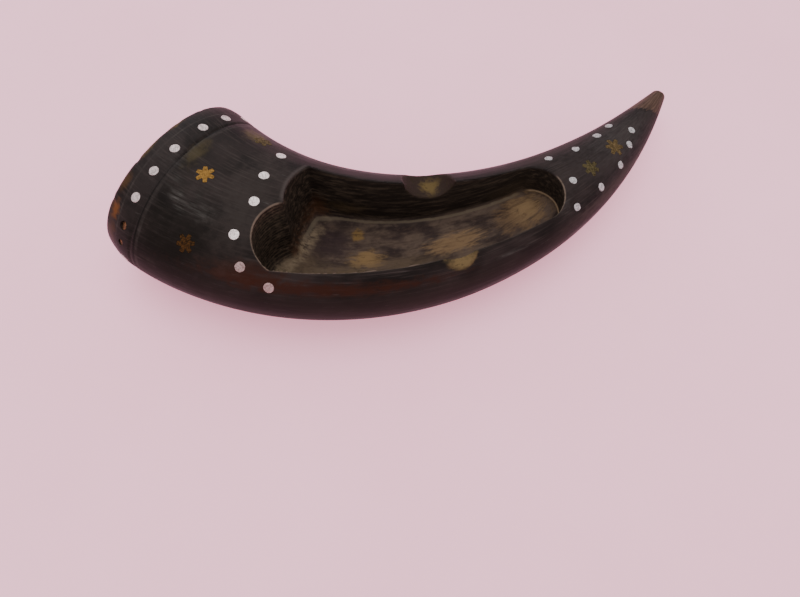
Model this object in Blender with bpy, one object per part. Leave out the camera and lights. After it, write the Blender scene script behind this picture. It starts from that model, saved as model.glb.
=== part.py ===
"""A carved buffalo-horn ashtray, inlaid with metal pins and stars, its mouth closed by a wooden plug.

The horn lies on its ground underside. +X runs along its chord from mouth to tip, +Y to its concave side,
+Z up, and the origin is under the middle of the horn. A place on the horn is (s, phi): s is measured
along the centreline from the mouth, and phi round the section, 0 on the concave side and 90 on top.
"""

import math
from collections import namedtuple

import bmesh
import bpy
from mathutils import Matrix, Vector
from mathutils.geometry import delaunay_2d_cdt, intersect_point_line

MM = 0.001
GAP = 0.3 * MM  # between a piece and the piece that holds it

# Horn
HORN_LENGTH = 277 * MM
MOUTH_HEADING = -59  # of the centreline, degrees from +X
BEND = 103  # degrees, from mouth to tip
BEND_POWER = 1.47  # over 1, the horn bends more towards its mouth
MOUTH_HALF_WIDTH = 44 * MM
TIP_HALF_WIDTH = 3 * MM
FULLNESS = 0.53  # how far the horn swells beyond a straight cone
MOUTH_FLATNESS = 0.62  # height over width
TIP_FLATNESS = 0.86
GROUND_FLAT = 1.2 * MM  # taken off the underside, so the horn lies still
TIP_LIFT = 16.7 * MM
LIFT_POWER = 2.6
TIP_ROUNDING = 1.8 * MM
MOUTH_TAPER = 0.075
MOUTH_TAPER_LENGTH = 13.4 * MM
MOUTH_SKEW = 12.9  # degrees between the mouth's plane and a square cut
MOUTH_SKEW_LENGTH = 25 * MM
EDGE_CHAMFER = 1.0 * MM
EDGE_CHAMFER_LENGTH = 1.6 * MM
HORN_SIDES = 32
CENTRELINE_STEPS = 200
BAND_STATIONS = (6 * MM, 11 * MM)  # rings between the mouth's chamfer and the groove
BODY_START = 24 * MM
BODY_STEPS = 20
TIP_SHARES = (0.5, 0.8, 0.95, 0.995)  # rings of the rounded tip

# Groove turned round the mouth band, slanted with the pins ahead of it
GROOVE_S = 17 * MM
GROOVE_HALF_WIDTH = 0.8 * MM
GROOVE_DEPTH = 0.7 * MM
SLANT = 3.0 * MM
SLANT_BOW = 1.6 * MM

# Hollow of the mouth and the plug in it
HOLLOW_DEPTH = 43 * MM
HOLLOW_WALL = 6 * MM
HOLLOW_POWER = 2.5
HOLLOW_SHARES = (0, 0.25, 0.5, 0.7, 0.85, 0.95, 0.995)  # rings of the hollow, as shares of its depth
MOUTH_OVERSHOOT = 6 * MM

# Tray: corners of its rim in plan, as s, offset towards the concave side, and how far the run to the next
# corner bows outwards, in mm. The first corner is the cusp between the two lobes at the mouth end.
RIM_CORNERS = (
    (66, -1.5, 3), (69, 22.5, -0.5), (171, 10, 14), (172, -16.5, -0.5), (67, -28.5, 8),
)
RIM_STEP = 5 * MM  # between points of the rim
TRAY_TOP = 62 * MM
FLOOR_START = (70 * MM, 12.3 * MM)  # s and height of the floor
FLOOR_SLOPE = 0.073
FLOOR_STEP = 5 * MM
FOOT = 3.2 * MM
MOUTH_FOOT = 9 * MM
FOOT_FADE = (68 * MM, 82 * MM)  # s between which the foot goes from one radius to the other

# Rests cut across the rims: place of the rim, height of the low line there, fall outwards in degrees
Rest = namedtuple("Rest", "s offset low radius fall")
FAR_REST = Rest(130 * MM, 14.5 * MM, 32.4 * MM, 11.0 * MM, 3.0)
NEAR_REST = Rest(133.5 * MM, -21.5 * MM, 36.1 * MM, 12.5 * MM, 18.0)
REST_SIDES = 32
REST_LENGTH = 60 * MM

# Inlaid pins
PIN_RADIUS = 2.25 * MM
TIP_PIN_RADIUS = 1.95 * MM
PIN_PROUD = 0.1 * MM
PIN_SIDES = 16
SOCKET_GAP = 0.25 * MM
PIN_SOCKET_TOP = 4 * MM  # how far a socket's cutter stands out of the horn
RIM_PIN_S = 12 * MM
RIM_PIN_ANGLES = (-27, -3, 22, 46, 67, 90, 108, 127, 148, 163, 184, 205)
RIM_PIN_LENGTH = 9 * MM
WORN_PIN_ANGLES = (148, 163)
WORN_PIN_SUNK = 0.7 * MM
TRAY_PINS = ((53, 52), (53, 77), (55, 97), (53, 121), (58, 141), (68, 153))  # mm, degrees
TIP_PINS = (
    (191, 64), (206, 70), (222, 66), (233, 60), (238, 106),
    (230, 124), (218, 139), (202, 142), (186, 142), (191, 110),
)
INLAY_DEPTH = 3 * MM

# Inlaid stars: s and radius in mm, phi and turn in degrees
STARS = (
    (31, 93, 4, 6), (38, 137, 4, 20), (38, 44, 4, 15),
    (203, 109, 4, 10), (222, 106, 4.5, 25),
)
STAR_ARMS = 6
STAR_VALLEY = 0.5  # of the radius
STAR_TIP_HALF_WIDTH = 0.6 * MM
STAR_THICKNESS = 1.6 * MM
STAR_PROUD = 0.15 * MM
STAR_SOCKET_TOP = 2 * MM


def heading_at(s):
    """Heading of the centreline in radians."""
    t = max(0, min(s / HORN_LENGTH, 1))
    return math.radians(MOUTH_HEADING + BEND * (1 - (1 - t) ** BEND_POWER))


def walk_centreline():
    """Plan points of the centreline at equal steps of s, from the middle of the mouth."""
    step = HORN_LENGTH / CENTRELINE_STEPS
    points = [Vector((0, 0, 0))]
    for i in range(CENTRELINE_STEPS):
        heading = heading_at((i + 0.5) * step)
        points.append(points[-1] + step * Vector((math.cos(heading), math.sin(heading), 0)))
    return points


CENTRELINE = walk_centreline()


def centre(s):
    """Plan point of the centreline at s, run on straight before the mouth."""
    place = s / HORN_LENGTH * CENTRELINE_STEPS
    i = max(0, min(int(place), CENTRELINE_STEPS - 1))
    return CENTRELINE[i].lerp(CENTRELINE[i + 1], place - i)


def forwards(s):
    """Unit vector along the centreline at s."""
    return Vector((math.cos(heading_at(s)), math.sin(heading_at(s)), 0))


def sideways(angle):
    """Unit vector to the concave side of a plan heading."""
    return Vector((-math.sin(angle), math.cos(angle), 0))


def half_sizes(s):
    """Half width and half height of the section at s, before the mouth's taper and the tip's rounding."""
    t = max(0, min(s / HORN_LENGTH, 1))
    width = TIP_HALF_WIDTH + (MOUTH_HALF_WIDTH - TIP_HALF_WIDTH) * (1 - t) * (1 + FULLNESS * t)
    return width, width * (MOUTH_FLATNESS + (TIP_FLATNESS - MOUTH_FLATNESS) * t)


def end_scale(s):
    """How far the mouth's taper and the tip's rounding shrink the section at s."""
    taper = 1 - MOUTH_TAPER * max(0, 1 - max(s, 0) / MOUTH_TAPER_LENGTH) ** 2
    past = max(0, 1 - (HORN_LENGTH - s) / TIP_ROUNDING)
    return taper * math.sqrt(1 - past**2)


def centre_height(s):
    t = max(0, min(s / HORN_LENGTH, 1))
    return half_sizes(s)[1] - GROUND_FLAT + TIP_LIFT * t**LIFT_POWER


def section_point(s, phi, half_width, half_height):
    """Point of the section at s at angle phi, in radians, for the half sizes given."""
    skew = math.radians(MOUTH_SKEW) * math.exp(-((s / MOUTH_SKEW_LENGTH) ** 2))
    side = sideways(heading_at(s) + skew)
    up = Vector((0, 0, centre_height(s) + half_height * math.sin(phi)))
    return centre(s) + half_width * math.cos(phi) * side + up


def slanted(s, phi):
    """s moved with the slant of the mouth's band, most at the groove and fading to both sides."""
    share = s / GROOVE_S * math.exp(1 - s / GROOVE_S)
    return s + share * (SLANT * math.cos(phi) + SLANT_BOW * math.cos(phi) ** 2)


def horn_point(s, phi, inset=0.0):
    width, height = half_sizes(s)
    scale = end_scale(s)
    return section_point(s, phi, width * scale - inset, height * scale - inset)


def horn_frame_at(s, phi):
    """Matrix at a place on the horn's surface: X along the horn, Z along the outward normal."""
    step = 0.5 * MM
    turn = 0.01
    ahead = horn_point(s + step, phi) - horn_point(s - step, phi)
    across = horn_point(s, phi + turn) - horn_point(s, phi - turn)
    normal = across.cross(ahead).normalized()
    x = (ahead - normal * ahead.dot(normal)).normalized()
    matrix = Matrix((x, normal.cross(x), normal)).transposed().to_4x4()
    matrix.translation = horn_point(s, phi)
    return matrix


def plan_point(s, offset, height):
    """Point at a plan offset from the centreline."""
    return centre(s) + offset * sideways(heading_at(s)) + Vector((0, 0, height))


def ring_angles():
    return [2 * math.pi * i / HORN_SIDES for i in range(HORN_SIDES)]


def collection_named(name):
    collection = bpy.data.collections.new(name)
    bpy.context.scene.collection.children.link(collection)
    return collection


def material_named(name, color, roughness, metallic=0.0):
    material = bpy.data.materials.new(name)
    material.use_nodes = True
    shader = material.node_tree.nodes["Principled BSDF"]
    shader.inputs["Base Color"].default_value = (*color, 1)
    shader.inputs["Roughness"].default_value = roughness
    shader.inputs["Metallic"].default_value = metallic
    return material


def place(mesh, name, collection, matrix=None, material=None):
    """An object of the mesh in the horn's frame."""
    piece = bpy.data.objects.new(name, mesh)
    collection.objects.link(piece)
    piece.parent = HORN_FRAME
    if matrix is not None:
        piece.matrix_basis = matrix
    if material:
        mesh.materials.clear()
        mesh.materials.append(material)
    else:
        piece.hide_render = True
        piece.display_type = "WIRE"
    return piece


def finished(bm, name, smooth_angle=30):
    bmesh.ops.recalc_face_normals(bm, faces=bm.faces)
    mesh = bpy.data.meshes.new(name)
    bm.to_mesh(mesh)
    bm.free()
    mesh.shade_smooth()
    mesh.set_sharp_from_angle(angle=math.radians(smooth_angle))
    return mesh


def loft(name, rings):
    """Closed mesh through rings of equal point counts, capped at both ends."""
    bm = bmesh.new()
    loops = [[bm.verts.new(point) for point in ring] for ring in rings]
    for near, far in zip(loops, loops[1:]):
        for i in range(len(near)):
            j = (i + 1) % len(near)
            bm.faces.new((near[i], near[j], far[j], far[i]))
    bm.faces.new(loops[0])
    bm.faces.new(loops[-1])
    return finished(bm, name)


def cylinder_mesh(name, radius, length, sides, top):
    """Cylinder along Z, its top face at the height given."""
    bm = bmesh.new()
    bmesh.ops.create_cone(
        bm, cap_ends=True, segments=sides, radius1=radius, radius2=radius, depth=length,
        matrix=Matrix.Translation((0, 0, top - length / 2)),
    )
    return finished(bm, name)


def plate_mesh(name, outline, thickness, top):
    """Flat plate of the outline, its top face at the height given."""
    curve = bpy.data.curves.new(name, "CURVE")
    curve.dimensions = "2D"
    curve.fill_mode = "BOTH"
    curve.extrude = thickness / 2
    spline = curve.splines.new("POLY")
    spline.points.add(len(outline) - 1)
    spline.use_cyclic_u = True
    for point, (x, y) in zip(spline.points, outline):
        point.co = (x, y, 0, 1)
    holder = bpy.data.objects.new(name, curve)
    bpy.context.scene.collection.objects.link(holder)
    evaluated = holder.evaluated_get(bpy.context.evaluated_depsgraph_get())
    plate = bpy.data.meshes.new_from_object(evaluated)
    bpy.data.objects.remove(holder)
    bm = bmesh.new()
    bm.from_mesh(plate)
    bmesh.ops.remove_doubles(bm, verts=bm.verts, dist=1e-6)
    bmesh.ops.translate(bm, verts=bm.verts, vec=(0, 0, top - thickness / 2))
    return finished(bm, name)


def cut(piece, cutters, name):
    modifier = piece.modifiers.new(name, "BOOLEAN")
    modifier.operation = "DIFFERENCE"
    modifier.operand_type = "COLLECTION"
    modifier.collection = cutters


def horn_rings():
    """Rings of the horn's outside, closer at the groove and the tip, clipped flat underneath."""
    mouth = [(0, EDGE_CHAMFER), (EDGE_CHAMFER_LENGTH, 0), *((s, 0) for s in BAND_STATIONS)]
    groove_start = GROOVE_S - GROOVE_HALF_WIDTH
    groove_stop = GROOVE_S + GROOVE_HALF_WIDTH
    groove = [(groove_start, 0), (GROOVE_S, GROOVE_DEPTH), (groove_stop, 0)]
    body_step = (HORN_LENGTH - TIP_ROUNDING - BODY_START) / BODY_STEPS
    body = [(BODY_START + body_step * i, 0) for i in range(BODY_STEPS + 1)]
    tip = [(HORN_LENGTH - TIP_ROUNDING * (1 - share), 0) for share in TIP_SHARES]
    rings = []
    for s, inset in mouth + groove + body + tip:
        ring = [horn_point(slanted(s, phi), phi, inset) for phi in ring_angles()]
        for point in ring:
            point.z = max(point.z, 0)
        rings.append(ring)
    return rings


def hollow_rings(gap):
    """Rings of the mouth's natural hollow down to its rounded end, shrunk all round by the gap."""
    rings = []
    for share in HOLLOW_SHARES:
        s = HOLLOW_DEPTH * share
        nose = math.sqrt(1 - share**HOLLOW_POWER)
        width, height = half_sizes(s)
        taper = end_scale(s)
        half_width = (width * taper - HOLLOW_WALL) * nose - gap
        half_height = (height * taper - HOLLOW_WALL) * nose - gap
        rings.append([section_point(s, phi, half_width, half_height) for phi in ring_angles()])
    rings[-1] = [point - gap * forwards(HOLLOW_DEPTH) for point in rings[-1]]
    return rings


def hollow_cutter_rings():
    """The hollow run on straight out of the mouth."""
    rings = hollow_rings(0)
    return [[point - MOUTH_OVERSHOOT * forwards(0) for point in rings[0]], *rings]


def bowed_run(start, stop, bow):
    """Points of a circular arc from start that bows to the left by the distance given, without its end."""
    half = (stop - start) / 2
    middle = start + half
    left = Vector((-half.y, half.x)).normalized()
    reach = 2 * math.atan(bow / half.length)
    radius = half.length / math.sin(reach)
    steps = math.ceil(2 * reach * radius / RIM_STEP)
    points = []
    for i in range(steps):
        turn = reach * (2 * i / steps - 1)
        along = half.normalized() * radius * math.sin(turn)
        points.append(middle + along + left * radius * (math.cos(turn) - math.cos(reach)))
    return points


def tray_outline():
    """The rim in plan: an arc from each corner to the next."""
    places = []
    for corner, following in zip(RIM_CORNERS, RIM_CORNERS[1:] + RIM_CORNERS[:1]):
        places += bowed_run(Vector(corner[:2]) * MM, Vector(following[:2]) * MM, corner[2] * MM)
    return [plan_point(place.x, place.y, 0) for place in places]


def floor_plane():
    """A point of the tray's floor and the floor's rise towards +X and +Y, seen from there."""
    s, height = FLOOR_START
    end_s = s + 100 * MM
    run = plan_point(end_s, 0, 0) - plan_point(s, 0, 0)
    rise = FLOOR_SLOPE * (end_s - s) / run.length_squared
    return plan_point(s, 0, height), run * rise


def floor_height(point):
    start, rise = floor_plane()
    return start.z + (point - start).dot(rise)


def foot_radius(point):
    """Radius of the rounded foot of the wall: larger at the mouth end of the tray."""
    start, stop = FOOT_FADE
    share = (point - plan_point(start, 0, 0)).dot(forwards(start)) / (stop - start)
    return MOUTH_FOOT + (FOOT - MOUTH_FOOT) * max(0, min(share, 1))


def wall_distance(point, outline):
    """Distance in plan to the outline's nearest side."""
    distances = []
    for start, end in zip(outline, outline[1:] + outline[:1]):
        on_line, share = intersect_point_line(point, start, end)
        nearest = start if share < 0 else end if share > 1 else on_line
        distances.append((point - nearest).length)
    return min(distances)


def foot_height(point, outline):
    """Height of the tray's bottom: the floor, rising round the foot of the wall."""
    radius = foot_radius(point)
    short = max(0, 1 - wall_distance(point, outline) / radius)
    return floor_height(point) + radius * (1 - math.sqrt(1 - short**2))


def crossings(point, outline):
    """How often a line from the point along +X crosses the outline."""
    count = 0
    for start, end in zip(outline, outline[1:] + outline[:1]):
        if (start.y > point.y) != (end.y > point.y):
            share = (point.y - start.y) / (end.y - start.y)
            count += start.x + share * (end.x - start.x) > point.x
    return count


def floor_grid(outline):
    """Plan points inside the outline, a step apart and half a step off the wall."""
    columns = range(*(round(f(p.x for p in outline) / FLOOR_STEP) for f in (min, max)))
    rows = range(*(round(f(p.y for p in outline) / FLOOR_STEP) for f in (min, max)))
    flat = [p.xy for p in outline]
    points = [Vector((i * FLOOR_STEP, j * FLOOR_STEP, 0)) for i in columns for j in rows]
    inside = [p for p in points if crossings(p, flat) % 2]
    return [p for p in inside if wall_distance(p, outline) > FLOOR_STEP / 2]


def tray_mesh():
    """The tray's cutter: straight walls down to a floor that meets them in a rounded foot."""
    outline = tray_outline()
    plan = outline + floor_grid(outline)
    rim = list(range(len(outline)))
    points, _, faces, *_ = delaunay_2d_cdt([p.xy for p in plan], [], [rim], 1, 1e-7)
    bm = bmesh.new()
    bottom = []
    for x, y in points:
        point = Vector((x, y, 0))
        bottom.append(bm.verts.new((x, y, foot_height(point, outline))))
    for face in faces:
        bm.faces.new([bottom[i] for i in face])
    top = [bm.verts.new((p.x, p.y, TRAY_TOP)) for p in outline]
    for i in rim:
        j = (i + 1) % len(rim)
        bm.faces.new((top[i], top[j], bottom[j], bottom[i]))
    bm.faces.new(top)
    return finished(bm, "tray_cut")


def rest_matrix(rest):
    """Matrix that lays a Z cylinder across the rim, falling outwards."""
    fall = math.radians(rest.fall)
    outwards = sideways(heading_at(rest.s)) * math.copysign(1, rest.offset)
    direction = outwards * math.cos(fall) - Vector((0, 0, math.sin(fall)))
    above = (Vector((0, 0, 1)) - direction * direction.z).normalized()
    matrix = Matrix((above.cross(direction), above, direction)).transposed().to_4x4()
    matrix.translation = plan_point(rest.s, rest.offset, rest.low) + above * rest.radius
    return matrix


def star_outline(radius, growth=0.0):
    """Six blunt arms, counted round from +X, grown outwards by the growth."""
    corners = []
    for arm in range(STAR_ARMS):
        axis = 2 * math.pi * arm / STAR_ARMS
        along_arm = Vector((math.cos(axis), math.sin(axis)))
        tip = (radius + growth) * along_arm
        half = (STAR_TIP_HALF_WIDTH + growth) * along_arm.orthogonal()
        corners += [tuple(tip - half), tuple(tip + half)]
        valley = axis + math.pi / STAR_ARMS
        inner = STAR_VALLEY * radius + growth / math.cos(math.pi / STAR_ARMS)
        corners.append((inner * math.cos(valley), inner * math.sin(valley)))
    return corners


def make_horn(parts, materials, cutters):
    horn = place(loft("horn_body", horn_rings()), "horn_body", parts, material=materials["horn"])
    for name, collection in cutters.items():
        cut(horn, collection, name)


def make_plug(parts, materials, sockets):
    plug = place(loft("end_plug", hollow_rings(GAP)), "end_plug", parts, material=materials["wood"])
    cut(plug, sockets, "rim sockets")


def make_tray_cutters(cutters):
    place(tray_mesh(), "tray_cut", cutters)
    for name, rest in (("far_rest_cut", FAR_REST), ("near_rest_cut", NEAR_REST)):
        mesh = cylinder_mesh(name, rest.radius, REST_LENGTH, REST_SIDES, REST_LENGTH / 2)
        place(mesh, name, cutters, rest_matrix(rest))


def make_pins(parts, cutters, name, places, radius, length, material):
    """Pins let into the horn, each in a socket that is a little wider and deeper."""
    pin_mesh = cylinder_mesh(name, radius, length + PIN_PROUD, PIN_SIDES, PIN_PROUD)
    socket_radius = radius + SOCKET_GAP
    socket_length = length + GAP + PIN_SOCKET_TOP
    socket_mesh = cylinder_mesh(name + "_socket", socket_radius, socket_length, PIN_SIDES, PIN_SOCKET_TOP)
    for number, (s, phi) in enumerate(places, start=1):
        matrix = horn_frame_at(s, phi)
        place(socket_mesh, f"{name}_socket_{number:02}", cutters, matrix)
        place(pin_mesh, f"{name}_{number:02}", parts, matrix, material)


def make_rim_pins(parts, cutters, materials):
    """Pins through the mouth's wall into the plug. The worn ones stand below the surface."""
    places = [(slanted(RIM_PIN_S, math.radians(phi)), math.radians(phi)) for phi in RIM_PIN_ANGLES]
    make_pins(parts, cutters, "rim_pin", places, PIN_RADIUS, RIM_PIN_LENGTH, materials["pin_metal"])
    worn_mesh = cylinder_mesh(
        "worn_pin", PIN_RADIUS, RIM_PIN_LENGTH - WORN_PIN_SUNK, PIN_SIDES, -WORN_PIN_SUNK
    )
    worn_mesh.materials.append(materials["worn_metal"])
    for number, phi in enumerate(RIM_PIN_ANGLES, start=1):
        if phi in WORN_PIN_ANGLES:
            parts.objects[f"rim_pin_{number:02}"].data = worn_mesh


def make_inlaid_pins(parts, cutters, materials):
    rows = (("tray_pin", TRAY_PINS, PIN_RADIUS), ("tip_pin", TIP_PINS, TIP_PIN_RADIUS))
    for name, places, radius in rows:
        in_radians = [(s * MM, math.radians(phi)) for s, phi in places]
        make_pins(parts, cutters, name, in_radians, radius, INLAY_DEPTH, materials["pin_metal"])


def make_stars(parts, cutters, materials):
    for number, (s, phi, radius, turn) in enumerate(STARS, start=1):
        matrix = horn_frame_at(s * MM, math.radians(phi)) @ Matrix.Rotation(math.radians(turn), 4, "Z")
        name = f"star_{number:02}"
        star = plate_mesh(name, star_outline(radius * MM), STAR_THICKNESS, STAR_PROUD)
        socket_outline = star_outline(radius * MM, SOCKET_GAP)
        socket_depth = STAR_THICKNESS - STAR_PROUD + GAP
        socket_thickness = socket_depth + STAR_SOCKET_TOP
        socket = plate_mesh(name + "_socket", socket_outline, socket_thickness, STAR_SOCKET_TOP)
        place(socket, name + "_socket", cutters, matrix)
        place(star, name, parts, matrix, materials["brass"])


def centred_frame():
    """Empty that holds the whole object, set so that the horn's box is centred on the world's Z axis."""
    points = [point for ring in horn_rings() for point in ring]
    frame = bpy.data.objects.new("horn_frame", None)
    bpy.context.scene.collection.objects.link(frame)
    frame.location.x = -(min(p.x for p in points) + max(p.x for p in points)) / 2
    frame.location.y = -(min(p.y for p in points) + max(p.y for p in points)) / 2
    return frame


def build():
    parts = collection_named("horn_ashtray")
    cutters = {name: collection_named(name) for name in ("hollow", "tray", "rim_sockets", "inlay_sockets")}
    materials = {
        "horn": material_named("horn", (0.035, 0.028, 0.026), 0.38),
        "wood": material_named("wood", (0.22, 0.12, 0.06), 0.7),
        "pin_metal": material_named("pin_metal", (0.72, 0.7, 0.7), 0.35, 1.0),
        "worn_metal": material_named("worn_metal", (0.25, 0.12, 0.06), 0.6, 0.7),
        "brass": material_named("brass", (0.55, 0.36, 0.14), 0.4, 1.0),
    }
    place(loft("hollow_cut", hollow_cutter_rings()), "hollow_cut", cutters["hollow"])
    make_tray_cutters(cutters["tray"])
    make_rim_pins(parts, cutters["rim_sockets"], materials)
    make_inlaid_pins(parts, cutters["inlay_sockets"], materials)
    make_stars(parts, cutters["inlay_sockets"], materials)
    make_horn(parts, materials, cutters)
    make_plug(parts, materials, cutters["rim_sockets"])


for leftover in list(bpy.data.objects):
    bpy.data.objects.remove(leftover)
HORN_FRAME = centred_frame()
build()
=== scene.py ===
"""Looks of the carved horn ashtray: the horn with its carved tray, the wooden plug, metal pins and stars.

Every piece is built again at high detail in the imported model's frame. A place on the horn is (s, phi):
s is measured along the centreline from the mouth, phi round the section, 0 on the concave side and 90
on top.
"""

import math

import bmesh
import bpy
import numpy as np
from mathutils import Matrix, Vector
from mathutils.bvhtree import BVHTree
from mathutils.geometry import delaunay_2d_cdt


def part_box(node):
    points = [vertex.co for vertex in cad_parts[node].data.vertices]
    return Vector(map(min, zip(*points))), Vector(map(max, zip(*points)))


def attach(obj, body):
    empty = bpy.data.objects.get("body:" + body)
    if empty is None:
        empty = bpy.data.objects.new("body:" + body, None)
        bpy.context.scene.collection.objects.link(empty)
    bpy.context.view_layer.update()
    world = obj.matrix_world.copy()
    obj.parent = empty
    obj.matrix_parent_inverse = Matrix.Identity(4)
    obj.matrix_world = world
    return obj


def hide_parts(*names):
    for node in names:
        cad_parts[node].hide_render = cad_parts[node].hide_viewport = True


MM = 0.001

# The horn, as the CAD model has it, except for its groove, which is a little finer
HORN_LENGTH = 277 * MM
MOUTH_HEADING = -59  # of the centreline, degrees from +X
BEND = 103  # degrees, from mouth to tip
BEND_POWER = 1.47  # over 1, the horn bends more towards its mouth
MOUTH_HALF_WIDTH = 44 * MM
TIP_HALF_WIDTH = 3 * MM
FULLNESS = 0.53  # how far the horn swells beyond a straight cone
MOUTH_FLATNESS = 0.62
TIP_FLATNESS = 0.86
GROUND_FLAT = 1.2 * MM
TIP_LIFT = 16.7 * MM
LIFT_POWER = 2.6
TIP_ROUNDING = 1.8 * MM
MOUTH_TAPER = 0.075
MOUTH_TAPER_LENGTH = 13.4 * MM
MOUTH_SKEW = 12.9
MOUTH_SKEW_LENGTH = 25 * MM
EDGE_CHAMFER = 1.0 * MM
EDGE_CHAMFER_LENGTH = 1.6 * MM
GROOVE_S = 17 * MM
GROOVE_HALF_WIDTH = 0.7 * MM
GROOVE_DEPTH = 0.6 * MM
SLANT = 3.0 * MM
SLANT_BOW = 1.6 * MM
BAND_RIDGE_S = 6.5 * MM
HOLLOW_DEPTH = 43 * MM
HOLLOW_WALL = 6 * MM
HOLLOW_POWER = 2.5
MOUTH_OVERSHOOT = 6 * MM
PLUG_GAP = 0.3 * MM

# The tray: corners of its rim in plan, as s, offset, and how far the run to the next bows outwards, in mm
RIM_CORNERS = (
    (66, -1.5, 3), (69, 22.5, -0.5), (171, 10, 14), (172, -16.5, -0.5), (67, -28.5, 8),
)
RIM_STEP = 1.1 * MM
TRAY_TOP = 62 * MM
TRAY_BEFORE = 50 * MM  # the carving starts past this s
TRAY_LOWEST = 8 * MM  # and lies above this height
FLOOR_START = (70 * MM, 12.3 * MM)
FLOOR_SLOPE = 0.073
FLOOR_STEP = 1.2 * MM
FOOT = 3.2 * MM
MOUTH_FOOT = 9 * MM
FOOT_FADE = (68 * MM, 82 * MM)

# Rests: s and offset of the rim, height of the low line, radius, fall outwards in degrees
RESTS = {
    "far": (130 * MM, 14.5 * MM, 32.4 * MM, 11.0 * MM, 3.0),
    "near": (133.5 * MM, -21.5 * MM, 36.1 * MM, 12.5 * MM, 18.0),
}
REST_LENGTH = 60 * MM

# Inlays, where the CAD model has them. The stars' arms are fuller than there.
PIN_RADIUS = 2.25 * MM
TIP_PIN_RADIUS = 1.95 * MM
RIM_PIN_S = 12 * MM
RIM_PIN_ANGLES = (-27, -3, 22, 46, 67, 90, 108, 127, 148, 163, 184, 205)
RIM_PIN_LENGTH = 9 * MM
# Worn pins: radius, depth below the surface, tilt in degrees
WORN_PINS = {"rim_pin_09": (1.9 * MM, 0.6 * MM, 24.0), "rim_pin_10": (1.3 * MM, 0.4 * MM, 10.0)}
TRAY_PINS = ((53, 52), (53, 77), (55, 97), (53, 121), (58, 141), (68, 153))  # mm, degrees
TIP_PINS = (
    (191, 64), (206, 70), (222, 66), (233, 60), (238, 106),
    (230, 124), (218, 139), (202, 142), (186, 142), (191, 110),
)
INLAY_DEPTH = 3 * MM
STARS = (  # s in mm, phi in degrees, radius in mm, turn in degrees
    (31, 93, 4, 6), (38, 137, 4, 20), (38, 44, 4, 15),
    (203, 109, 4, 10), (222, 106, 4.5, 25),
)
STAR_ARMS = 6
STAR_VALLEY = 0.53  # of the radius
STAR_TIP_HALF_WIDTH = 0.85 * MM
STAR_DEPTH = 1.45 * MM
SOCKET_GAP = 0.07 * MM
SOCKET_TOP = 2.5 * MM  # how far a socket's cutter stands out of the horn
PROUD = 0.1 * MM

# Fineness of the visual meshes
RING_STEP = 1.0 * MM
SIDES = 144
VOXEL = 0.5 * MM
HORN_TRIANGLES = 176_000
RIM_BAND = 1.2 * MM  # each side of the tray's rim, meshed more finely
CENTRELINE_STEPS = 400
LOT = 4000  # points compared with a loop at once

# Looks
GIRTH_RADIUS = 30 * MM  # turns phi into a length
HORN_SPECULAR = 0.055
METALS = {  # dark and bright colour, roughness, metallic, specular
    "pin_metal": ((0.34, 0.27, 0.26), (0.80, 0.64, 0.63), 0.42, 0.35, 0.4),
    # tray_pin: the pins' metal painted lighter than pin_metal, a painted highlight for pins that catch more
    # light
    "tray_pin": ((0.50, 0.40, 0.39), (1.00, 0.86, 0.83), 0.35, 0.35, 0.5),
    "tip_pin": ((0.20, 0.18, 0.18), (0.66, 0.60, 0.60), 0.45, 0.35, 0.3),
    "pink_pin": ((0.24, 0.15, 0.14), (0.50, 0.34, 0.32), 0.45, 0.35, 0.3),
    "worn_metal": ((0.03, 0.012, 0.007), (0.26, 0.11, 0.045), 0.55, 0.3, 0.2),
    "star_01": ((0.12, 0.058, 0.012), (0.30, 0.155, 0.032), 0.5, 0.2, 0.1),
    "star_02": ((0.012, 0.007, 0.004), (0.070, 0.030, 0.008), 0.6, 0.1, 0.05),
    "star_03": ((0.026, 0.019, 0.010), (0.11, 0.076, 0.030), 0.6, 0.1, 0.05),
    "star_04": ((0.020, 0.015, 0.007), (0.105, 0.078, 0.036), 0.6, 0.1, 0.05),
    "star_05": ((0.028, 0.018, 0.007), (0.145, 0.094, 0.042), 0.6, 0.1, 0.05),
}
PINK_PINS = ("tray_pin_05", "tray_pin_06")
STAGE_HALF = 1.6
SKY = 0.8
FLOOR_COLORS = ((0.70, 0.40, 0.50), (0.86, 0.52, 0.63))
FLOOR_GLOW = (0.88, 0.35, 0.46)

# Camera, from the middle of the horn's mouth
CAMERA_AT = Vector((0.0573, -0.2453, 0.3113))
CAMERA_TO = Vector((0.0913, -0.0688, 0.0))
CAMERA_LENS = 36.0


# ---------------------------------------------------------------- the horn's formulas, on arrays

def heading_at(s):
    t = np.clip(np.asarray(s) / HORN_LENGTH, 0, 1)
    return np.radians(MOUTH_HEADING + BEND * (1 - (1 - t) ** BEND_POWER))


def forwards(s):
    heading = heading_at(s)
    return np.stack([np.cos(heading), np.sin(heading)], -1)


def sideways(heading):
    return np.stack([-np.sin(heading), np.cos(heading)], -1)


def walk_centreline():
    """Plan points of the centreline at equal steps of s, from the middle of the mouth."""
    middles = (np.arange(CENTRELINE_STEPS) + 0.5) / CENTRELINE_STEPS * HORN_LENGTH
    steps = forwards(middles) * HORN_LENGTH / CENTRELINE_STEPS
    return np.concatenate([np.zeros((1, 2)), np.cumsum(steps, 0)])


CENTRELINE = walk_centreline()


def centre(s):
    place = np.asarray(s) / HORN_LENGTH * CENTRELINE_STEPS
    i = np.clip(place.astype(int), 0, CENTRELINE_STEPS - 1)
    share = (place - i)[..., None]
    return CENTRELINE[i] * (1 - share) + CENTRELINE[i + 1] * share + FRAME_AT


def half_sizes(s):
    t = np.clip(np.asarray(s) / HORN_LENGTH, 0, 1)
    width = TIP_HALF_WIDTH + (MOUTH_HALF_WIDTH - TIP_HALF_WIDTH) * (1 - t) * (1 + FULLNESS * t)
    return width, width * (MOUTH_FLATNESS + (TIP_FLATNESS - MOUTH_FLATNESS) * t)


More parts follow.
